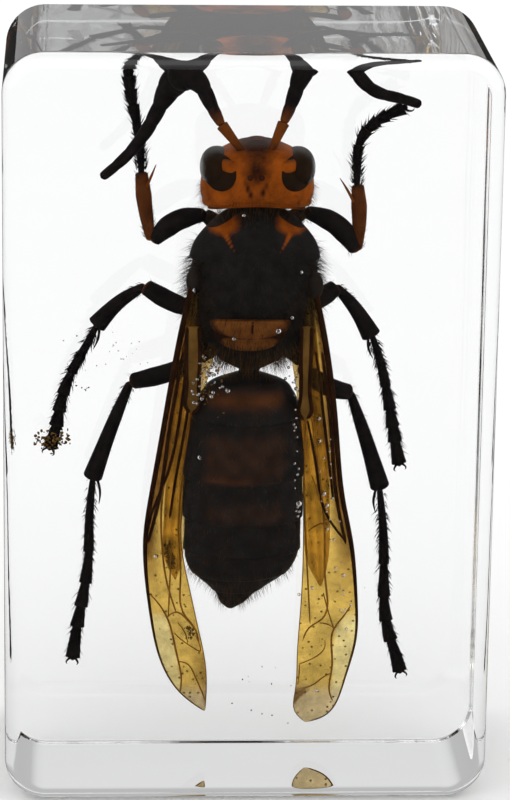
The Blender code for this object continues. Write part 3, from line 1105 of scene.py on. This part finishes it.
def wing_rings(outline, pleat, back=0.0, rows=120, half=24):
    """A wing's film: straight across between the splined outer and inner edges, out and back.

    Each ring runs over the front skin from the outer edge to the inner one and returns over the rear
    skin, a film's thickness behind it.
    """
    outer, inner = (flat_spline(outline[edge], end_spaced(rows)) for edge in ("outer", "inner"))
    across = end_spaced(half)
    across = np.concatenate((across, across[-2:0:-1]))[None, :, None]
    skin = np.concatenate((-np.ones(half), np.ones(half - 2)))[None, :]
    points = (1.0 - across) * outer[:, None] + across * inner[:, None]
    rim = np.sqrt(np.clip(4.0 * across[..., 0] * (1.0 - across[..., 0]), 0.02, 1.0))
    points[..., 1] = wing_depth(points[..., 2], across[..., 0], pleat) + back + skin * FILM_HALF * rim
    return points, np.broadcast_to(across[..., 0], points.shape[:2])


def wing_line(knots, outline, pleat, rows):
    """A splined line on the wing's film: its across value is read back from the two edges."""
    line = flat_spline(knots, rows)
    edges = (np.array(outline[edge])[::-1] for edge in ("outer", "inner"))
    out, into = (np.interp(line[:, 2], edge[:, 1], edge[:, 0]) for edge in edges)
    across = np.clip((line[:, 0] - out) / np.where(np.abs(into - out) < 1e-6, 1.0, into - out), 0.0, 1.0)
    line[:, 1] = wing_depth(line[:, 2], across, pleat)
    return line


def make_fore_wing(label, look):
    """A fore wing's film: dark at its edge, root and fold, with painted shade and a painted shadow on the
    left wing, pale beyond the cross vein, grey at the tip.
    """
    sign = -1.0 if label == "left" else 1.0
    outline, veins = FORE_WINGS[label], FORE_VEINS[label]
    film, across = wing_rings(outline, PLEAT)
    x, z = film[..., 0] * sign, film[..., 2]
    edge = smooth_step(0.48, 0.1, across) * smooth_step(13.0, 21.0, z)
    root = smooth_step(22.0, 31.0, z) * (0.42 + 0.3 * np.sin(across * 15.0))
    fold = smooth_step(0.15, -0.15, (x - 4.0) * 2.0 - (z - 3.0) * 1.6) * smooth_step(5.9, 5.2, z) * 0.8
    # Painted shadow: the left wing is darker by its inner edge towards the tip.
    shadow = smooth_step(0.55, 0.95, across) * smooth_step(11.5, 8.0, z) * 0.45
    # The 0.1 on the left wing is painted shade over the whole film.
    dark = np.clip(edge * 0.95 + root + (fold if label == "right" else shadow + 0.1), 0.0, 1.0)
    cell = np.array(veins[3][1])[::-1]
    beyond = x - np.abs(np.interp(z, cell[:, 1], cell[:, 0]))
    pale = smooth_step(0.0, 0.2, beyond) * smooth_step(13.2, 12.2, z) * smooth_step(3.6, 4.6, z)
    grey = smooth_step(6.3, 4.4, z) * 0.7
    make_piece(f"fore_wing_{label}", [film], look("wing_film"), "wing_film",
               dark=[dark], pale=[pale], grey=[grey])


def make_veins(label, look):
    """A fore wing's veins, its thick leading edge and its thin inner rim, as round lines on the film."""
    outline = FORE_WINGS[label]
    lines, tones = [], []
    for half_width, knots in FORE_VEINS[label]:
        path = wing_line(knots, outline, PLEAT, 46)
        along = np.linspace(0.0, 1.0, 46)
        width = half_width * (0.75 + 0.25 * np.sin(np.pi * along)) * round_ends(along, 0.03, 0.03)
        lines.append(sweep(path, width, width * 0.7, 10))
        tones.append(0.9 if half_width > 0.1 else 0.1)
    edge_path = wing_line(outline["outer"], outline, PLEAT, 110)
    along = np.linspace(0.0, 1.0, 110)
    width = np.interp(along, (0.0, 0.1, 0.55, 0.7, 1.0), (0.2, 0.26, 0.2, 0.13, 0.05))
    lines.append(sweep(edge_path, width * round_ends(along, 0.01, 0.01), width * 0.7, 12))
    rim_path = wing_line(outline["inner"], outline, PLEAT, 90)
    lines.append(sweep(rim_path, 0.04 * round_ends(np.linspace(0.0, 1.0, 90), 0.02, 0.02), 0.04, 8))
    tones += [(1.0, 1.0, 1.0, 0.7, 0.45), (0.9, 0.5, 0.3)]
    make_piece(f"fore_wing_{label}_veins", lines, look("vein"), "wing_film", dark=tones)


def make_hind_wing(label, look):
    """A hind wing's film, striped by its folds, just behind the fore wing."""
    hind, across = wing_rings(HIND_WINGS[label], 0.07, 0.4, 90, 18)
    stripes = 0.3 + 0.28 * np.sin(across * 19.0) + 0.25 * smooth_step(24.0, 32.0, hind[..., 2])
    make_piece(f"hind_wing_{label}", [hind], look("wing_film"), "wing_film",
               dark=[np.clip(stripes, 0.0, 1.0)], grey=[0.35], pale=[0.0])


def make_wing_lobe(label, look):
    """The narrow folded lobe at a wing's root and the dark rim along its two edges."""
    lobe, across = wing_rings(LOBES[label], 0.0, -0.6, 60, 12)
    shade = 0.15 + 0.5 * np.abs(2.0 * across - 1.0) ** 3
    make_piece(f"wing_lobe_{label}", [lobe], look("lobe"), "wing_film", dark=[shade])
    rims = []
    for side in ("outer", "inner"):
        path = flat_spline(LOBES[label][side], 40)
        path[:, 1] = wing_depth(path[:, 2], 0.5, 0.0) - 0.65
        rims.append(sweep(path, 0.16 * round_ends(np.linspace(0.0, 1.0, 40), 0.04, 0.04), 0.06, 8))
    make_piece(f"wing_lobe_{label}_rim", rims, look("vein"), "wing_film", dark=[1.0, 1.0])


# ---------------------------------------------------------------- bubbles and dust

# Single trapped bubbles: place to the right, in depth and height, then radius.
BUBBLES = (
    (-0.6, -4.9, 49.1, 0.14), (4.1, -5.0, 44.4, 0.16), (3.4, -5.6, 40.7, 0.15), (2.3, -5.7, 39.6, 0.24),
    (-1.3, -5.5, 38.9, 0.15), (-4.5, -3.9, 42.7, 0.17), (4.3, -3.2, 24.4, 0.26), (-3.9, -2.2, 28.2, 0.2),
    (5.9, -1.4, 31.4, 0.17), (6.0, -1.0, 29.4, 0.17), (6.5, 0.6, 24.5, 0.22), (6.8, 1.0, 23.4, 0.2),
    (6.9, 1.7, 21.2, 0.17), (8.4, 3.1, 16.8, 0.18), (5.8, 3.4, 15.6, 0.16), (4.7, 3.5, 15.0, 0.15),
    (8.8, 4.4, 11.7, 0.14), (9.1, 3.9, 14.0, 0.13), (6.4, 6.0, 5.8, 0.15), (-7.4, 3.1, 18.5, 0.19))
# Runs of small bubbles: start, end, how many, scatter, smallest and largest radius.
BUBBLE_RUNS = (
    ((3.8, -2.9, 34.1), (4.2, -3.0, 26.5), 15, 0.13, 0.07, 0.13),
    ((4.2, -3.0, 26.2), (4.2, -2.8, 23.2), 7, 0.12, 0.07, 0.14),
    ((-3.8, -2.6, 36.8), (-2.6, -3.8, 33.6), 30, 0.45, 0.07, 0.24),
    ((-4.3, -2.6, 35.7), (-3.9, -3.2, 32.6), 16, 0.3, 0.07, 0.18),
    ((3.4, -2.8, 36.1), (4.0, -3.1, 34.0), 10, 0.25, 0.07, 0.18),
    ((6.3, -1.2, 30.0), (8.5, 4.2, 12.0), 26, 0.45, 0.06, 0.14),
    ((-9.6, 6.0, 36.5), (-10.9, 6.6, 34.9), 10, 0.5, 0.04, 0.09))
BUBBLE_GAP = 0.03              # least resin between two bubbles, millimetres
# Loose dust: middle of each cloud, spread, number of crumbs, size.
DUST = (
    ((-16.1, 6.8, 28.0), (0.75, 0.4, 0.45), 110, 0.16), ((-14.3, 6.6, 33.5), (0.7, 0.5, 1.4), 14, 0.1),
    ((-6.4, 4.3, 18.7), (0.13, 0.05, 0.45), 40, 0.16), ((-6.0, 4.2, 17.9), (0.13, 0.05, 0.4), 34, 0.16),
    ((-4.4, 6.2, 11.0), (0.14, 0.05, 0.3), 26, 0.13), ((-4.6, 6.2, 11.4), (0.1, 0.05, 0.1), 6, 0.12),
    ((1.2, 1.5, 8.3), (1.4, 1.0, 0.8), 7, 0.09), ((1.1, 1.5, 5.3), (1.6, 1.0, 0.5), 5, 0.1),
    ((-9.8, 5.5, 35.6), (1.4, 0.8, 0.8), 8, 0.07), ((8.5, 6.0, 13.0), (1.2, 1.0, 2.5), 8, 0.06),
    ((-3.1, -3.0, 34.9), (0.7, 0.4, 1.2), 46, 0.13))


def bubble_places(rng):
    """Every bubble's place and radius: the single ones, then even random ones along each run."""
    places = [np.array(BUBBLES)]
    for start, end, count, scatter, low, high in BUBBLE_RUNS:
        part = rng.uniform(0.0, 1.0, (count, 1))
        middle = (1.0 - part) * np.array(start) + part * np.array(end)
        middle = middle + rng.normal(0.0, scatter, (count, 3)) * (1.0, 0.3, 1.0)
        places.append(np.hstack((middle, rng.uniform(low, high, (count, 1)))))
    return apart(np.concatenate(places))


def apart(places):
    """The bubbles of the list that touch no earlier one, so that no two hollows cross."""
    distance = np.linalg.norm(places[:, None, :3] - places[None, :, :3], axis=-1)
    touch = distance < places[:, None, 3] + places[None, :, 3] + BUBBLE_GAP
    return places[~np.tril(touch, -1).any(axis=1)]


def crumbs(centre, spread, count, size, rng):
    """Small uneven lumps: balls of few rows, each stretched by its own random three radii."""
    shape = ball((0.0, 0.0, 0.0), (1.0, 1.0, 1.0), 6, 7)
    place = np.array(centre) + rng.normal(0.0, 1.0, (count, 1, 1, 3)) * spread
    radii = size * rng.uniform(0.3, 1.0, (count, 1, 1, 3))
    return place + shape[None] * radii


def make_dust(look, rng):
    """Crumbs of dust and wing dirt that were cast in with the hornet."""
    shapes = [crumbs(*cloud, rng) for cloud in DUST]
    make_piece("cast_in_dust", shapes, look("dust"), "dust")


# ---------------------------------------------------------------- stage

def make_floor(material):
    """A flat square floor just under the block, so wide that its edge is never seen."""
    side = FLOOR_SIDE / 2.0
    corners = [(x * side, y * side, FLOOR_LEVEL) for x, y in ((-1, -1), (1, -1), (1, 1), (-1, 1))]
    mesh = bpy.data.meshes.new("studio_floor")
    mesh.from_pydata(corners, [], [(0, 1, 2, 3)])
    mesh.materials.append(material)
    floor = bpy.data.objects.new("studio_floor", mesh)
    bpy.context.scene.collection.objects.link(floor)


def mirrored_light(tree):
    """1 for light that a polished face mirrors straight to the eye, 0 for all other light."""
    path = add(tree, "ShaderNodeLightPath").outputs
    return reckon(tree, "MULTIPLY", path["Is Glossy Ray"], path["Is Reflection Ray"])


def floor_material(tone):
    """Matt pale board with the faintest paper grain."""
    material, tree, shader, place = new_material("pale_floor")
    tint = ranged(tree, noise(tree, place, 60.0), to_low=tone - 0.01, to_high=tone + 0.01)
    shade = ranged(tree, mirrored_light(tree), to_low=1.0, to_high=MIRRORED)
    feed(tree, shader, {"Base Color": shaded(tree, tint, shade), "Roughness": 1.0,
                        "Specular IOR Level": 0.0})
    return material


def make_tent(studio):
    """A white light tent: the world's brightness by the height that a ray looks up to."""
    world = bpy.data.worlds.new("light_tent")
    world.use_nodes = True
    tree = world.node_tree
    direction = add(tree, "ShaderNodeTexCoord").outputs["Generated"]
    height = add(tree, "ShaderNodeSeparateXYZ", {0: direction}).outputs["Z"]
    ramp = add(tree, "ShaderNodeValToRGB", {"Fac": height})
    elements = ramp.color_ramp.elements
    while len(elements) < len(TENT_STEPS):
        elements.new(1.0)
    for element, (place, tone) in zip(elements, TENT_STEPS):
        element.position = place
        element.color = (tone, tone, tone, 1.0)
    feed(tree, tree.nodes["Background"], {"Color": ramp.outputs["Color"], "Strength": studio.tent_strength})
    bpy.context.scene.world = world


def make_camera(studio):
    """A long lens a little above and to the left of the block, looking at its middle."""
    turn, rise, roll = studio.camera_turn, studio.camera_rise, studio.camera_roll
    back = np.array((math.sin(turn) * math.cos(rise), -math.cos(turn) * math.cos(rise), math.sin(rise)))
    aim = np.array(studio.camera_aim)
    lens = bpy.data.cameras.new("camera")
    lens.lens = studio.camera_lens
    lens.sensor_width = SENSOR
    camera = bpy.data.objects.new("camera", lens)
    camera.location = aim + back * studio.camera_distance
    camera.rotation_euler = (math.pi / 2.0 - rise, 0.0, turn)
    camera.rotation_euler = (camera.rotation_euler.to_matrix()
                             @ Matrix.Rotation(roll, 3, "Z")).to_euler()
    bpy.context.scene.collection.objects.link(camera)
    bpy.context.scene.camera = camera


# ---------------------------------------------------------------- settings

def length(label, default, text):
    """A length property in metres whose default is given in millimetres."""
    return bpy.props.FloatProperty(name=label, description=text, default=default * MM, min=0.0,
                                   precision=5, subtype="DISTANCE", unit="LENGTH")


def angle(label, default, text):
    """An angle property whose default is given in degrees."""
    return bpy.props.FloatProperty(name=label, description=text, default=math.radians(default),
                                   subtype="ANGLE")


def tone(label, default, text):
    """A colour property."""
    return bpy.props.FloatVectorProperty(name=label, description=text, default=default, size=3,
                                         min=0.0, max=1.0, subtype="COLOR")


class BlockSettings(bpy.types.PropertyGroup):
    """Sizes of the resin block that the frame doesn't hold."""

    corner_radius: length("Corner radius", 3.4, "Rounding of the four corners of the front outline")
    front_rounding: length("Front rounding", 1.3, "Rounding of the moulded rim round the front face")
    back_bevel: length("Back bevel", 0.2, "Width of the ground rim round the back face")


class ColourSettings(bpy.types.PropertyGroup):
    """Colours of the pieces."""

    resin: tone("Resin", (0.995, 0.998, 0.998), "Colour of light that has crossed the resin's skin")
    resin_depth: tone("Resin depth", (0.86, 0.95, 0.93), "Colour of light that crosses much resin")
    orange: tone("Orange", (0.36, 0.08, 0.006), "Head and collar")
    orange_dark: tone("Orange in shade", (0.035, 0.011, 0.004), "Dark marks on the head")
    rust: tone("Rust", (0.22, 0.075, 0.016), "Scutellum and first gaster ring")
    rust_dim: tone("Dim rust", (0.12, 0.042, 0.014), "Bands of the gaster")
    black: tone("Black", (0.017, 0.015, 0.014), "Thorax and gaster")
    black_light: tone("Brown-black", (0.026, 0.019, 0.014), "Paler parts of the black shell")
    limb_light: tone("Limb light", (0.26, 0.07, 0.01), "Fore tibiae, scapes and knees")
    limb_dark: tone("Limb dark", (0.015, 0.011, 0.011), "Legs and flagella")
    eye: tone("Eye", (0.012, 0.007, 0.004), "Compound eye")
    eye_light: tone("Eye light", (0.03, 0.014, 0.005), "Pale clouds of the compound eye")
    # Painted sheen: light grey put into the eye's colour on its outer rim, where an air film would gleam.
    eye_silver: tone("Eye gloss", (0.3, 0.3, 0.3), "Air film on the outer side of the eye")
    ocellus: tone("Ocellus", (0.05, 0.014, 0.005), "The three small eyes")
    film: tone("Wing film", (0.85, 0.57, 0.13), "Clear part of the wings")
    # Folded film also colours the painted shade and painted shadow of the left fore wing.
    film_dark: tone("Folded film", (0.2, 0.085, 0.015), "Folds and the leading edge")
    film_grey: tone("Grey film", (0.64, 0.54, 0.36), "Hind wings and the wing tips")
    film_pale: tone("Pale film", (1.0, 0.81, 0.34), "Cells near the wing tips")
    vein: tone("Dark veins", (0.035, 0.012, 0.004), "Leading edges of the wings")
    vein_light: tone("Light veins", (0.34, 0.14, 0.02), "Cell veins of the wings")
    lobe: tone("Lobe", (0.22, 0.11, 0.025), "Folded lobe at each wing's root")
    hair_tip: tone("Hair tip", (0.035, 0.02, 0.01), "Ends of the dark hair")
    hair_gold: tone("Golden hair", (0.24, 0.11, 0.025), "Ends of the golden hair")
    dust: tone("Dust", (0.2, 0.11, 0.03), "Crumbs cast in with the hornet")


class StudioSettings(bpy.types.PropertyGroup):
    """The light tent, floor and camera."""

    floor_tone: bpy.props.FloatProperty(name="Floor tone", description="How pale the floor is",
                                        default=0.905, min=0.0, max=1.0, subtype="FACTOR")
    tent_strength: bpy.props.FloatProperty(name="Tent strength", description="Brightness of the light tent",
                                           default=1.0, min=0.0)
    camera_lens: bpy.props.FloatProperty(name="Lens", description="Focal length in millimetres",
                                         default=172.0, min=1.0)
    camera_distance: length("Camera distance", 320.0, "From the middle of the block to the camera")
    camera_turn: angle("Camera turn", -2.8, "Angle round the block")
    camera_rise: angle("Camera rise", 16.2, "Angle above the horizon")
    camera_roll: angle("Camera roll", 0.79, "Turn round the line of sight")
    camera_aim: bpy.props.FloatVectorProperty(name="Camera aim", description="Point that it looks at",
                                              default=(0.00085, 0.0, 0.03154), size=3,
                                              subtype="TRANSLATION", unit="LENGTH")


# ---------------------------------------------------------------- operators

def look_of(context):
    """A way to ask for finishes by name with the scene's colours."""
    return lambda label: finish(label, context.scene.colour_settings)


class BuildBlock(bpy.types.Operator):
    """Make the clear block with its rounded rims and trapped bubbles"""

    bl_idname = "resin_hornet.block"
    bl_label = "Resin block"

    def execute(self, context):
        rng = np.random.default_rng(5)
        block = make_piece("resin_block_clear", [block_rings(context.scene.block_settings)],
                           look_of(context)("cast_resin"), "clear_resin",
                           hollows=bubble_shapes(bubble_places(rng)))
        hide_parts("resin_block")
        return {"FINISHED"}


class BuildHead(bpy.types.Operator):
    """Make the head, its jaws, its compound eyes and its three small eyes"""

    bl_idname = "resin_hornet.head"
    bl_label = "Head"

    def execute(self, context):
        make_head(look_of(context))
        return {"FINISHED"}


class BuildThorax(bpy.types.Operator):
    """Make the thorax with its collar, shields and wing-root caps"""

    bl_idname = "resin_hornet.thorax"
    bl_label = "Thorax"

    def execute(self, context):
        make_thorax(look_of(context))
        return {"FINISHED"}


class BuildGaster(bpy.types.Operator):
    """Make the waist and the seven rings of the gaster"""

    bl_idname = "resin_hornet.gaster"
    bl_label = "Gaster"

    def execute(self, context):
        make_gaster(look_of(context))
        return {"FINISHED"}


class BuildAntennae(bpy.types.Operator):
    """Make both antennae"""

    bl_idname = "resin_hornet.antennae"
    bl_label = "Antennae"

    def execute(self, context):
        for label, antenna in ANTENNAE.items():
            make_antenna(label, antenna, look_of(context))
        return {"FINISHED"}


class BuildLegs(bpy.types.Operator):
    """Make the six legs with their spurs, claws and spines"""

    bl_idname = "resin_hornet.legs"
    bl_label = "Legs"

    def execute(self, context):
        rng = np.random.default_rng(11)
        for label, leg in LEGS.items():
            make_leg(label, leg, look_of(context), rng)
        return {"FINISHED"}


class BuildWings(bpy.types.Operator):
    """Make the folded fore and hind wings with their veins"""

    bl_idname = "resin_hornet.wings"
    bl_label = "Wings"

    def execute(self, context):
        for label in FORE_WINGS:
            for make in (make_fore_wing, make_veins, make_hind_wing, make_wing_lobe):
                make(label, look_of(context))
        return {"FINISHED"}


class BuildHair(bpy.types.Operator):
    """Make the hair of the thorax, head and gaster"""

    bl_idname = "resin_hornet.hair"
    bl_label = "Hair"

    def execute(self, context):
        make_body_hair(look_of(context), np.random.default_rng(23))
        return {"FINISHED"}


class BuildDust(bpy.types.Operator):
    """Make the crumbs that were cast in with the hornet"""

    bl_idname = "resin_hornet.dust"
    bl_label = "Dust"

    def execute(self, context):
        make_dust(look_of(context), np.random.default_rng(31))
        return {"FINISHED"}


class BuildStage(bpy.types.Operator):
    """Make the pale floor, the light tent and the camera"""

    bl_idname = "resin_hornet.stage"
    bl_label = "Stage"

    def execute(self, context):
        studio = context.scene.studio_settings
        make_floor(floor_material(studio.floor_tone))
        make_tent(studio)
        make_camera(studio)
        scene = context.scene
        scene.view_settings.view_transform = "Standard"
        scene.cycles.max_bounces = 24
        scene.cycles.transmission_bounces = 24
        scene.cycles.transparent_max_bounces = 24
        scene.cycles.glossy_bounces = 16
        return {"FINISHED"}


SETTINGS = (("block_settings", BlockSettings), ("colour_settings", ColourSettings),
            ("studio_settings", StudioSettings))
OPERATORS = (BuildStage, BuildBlock, BuildHead, BuildThorax, BuildGaster, BuildAntennae, BuildLegs,
             BuildWings, BuildHair, BuildDust)


class ResinHornetPanel(bpy.types.Panel):
    """Sidebar panel that lists the settings and every build step"""

    bl_idname = "VIEW3D_PT_resin_hornet"
    bl_label = "Resin Block"
    bl_space_type = "VIEW_3D"
    bl_region_type = "UI"
    bl_category = "Resin Block"

    def draw(self, context):
        for label, group in SETTINGS:
            box = self.layout.box()
            box.label(text=group.__doc__)
            for name in group.__annotations__:
                box.prop(getattr(context.scene, label), name)
        for operator in OPERATORS:
            self.layout.operator(operator.bl_idname)


CLASSES = (*(group for _, group in SETTINGS), *OPERATORS, ResinHornetPanel)


def register():
    for made in CLASSES:
        bpy.utils.register_class(made)
    for label, group in SETTINGS:
        setattr(bpy.types.Scene, label, bpy.props.PointerProperty(type=group))


def unregister():
    for label, _ in SETTINGS:
        delattr(bpy.types.Scene, label)
    for made in reversed(CLASSES):
        bpy.utils.unregister_class(made)


def main():
    register()
    for operator in OPERATORS:
        module, name = operator.bl_idname.split(".")
        getattr(getattr(bpy.ops, module), name)()


if __name__ == "__main__":
    main()
